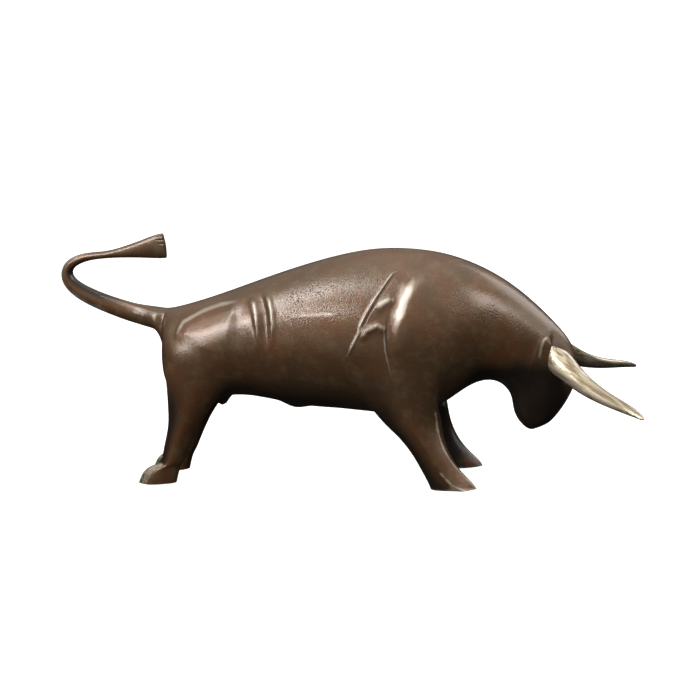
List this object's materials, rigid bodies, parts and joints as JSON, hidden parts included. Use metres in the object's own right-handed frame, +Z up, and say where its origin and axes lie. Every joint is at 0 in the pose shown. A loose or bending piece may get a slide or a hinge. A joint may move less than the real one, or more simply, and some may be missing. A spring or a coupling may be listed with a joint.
{
  "type": "bull sculpture",
  "caption": "Cast bronze bull with lowered head, spread horns, arched back and a tail curled forward over the rump, standing on its own feet.",
  "frame": {"origin": "centre of the bounding box in X and Y, at the level of the soles", "axes": "+X towards the head, +Z up, +Y to the figure's left; XZ is the middle plane"},
  "size_m": [0.4642, 0.1728, 0.2026],
  "materials": {
    "bronze": "brown patina with a wax gloss, horns and hoof edges polished to pale metal"
  },
  "bodies": {
    "root": {"bull": "bronze"}
  },
  "joints": []
}
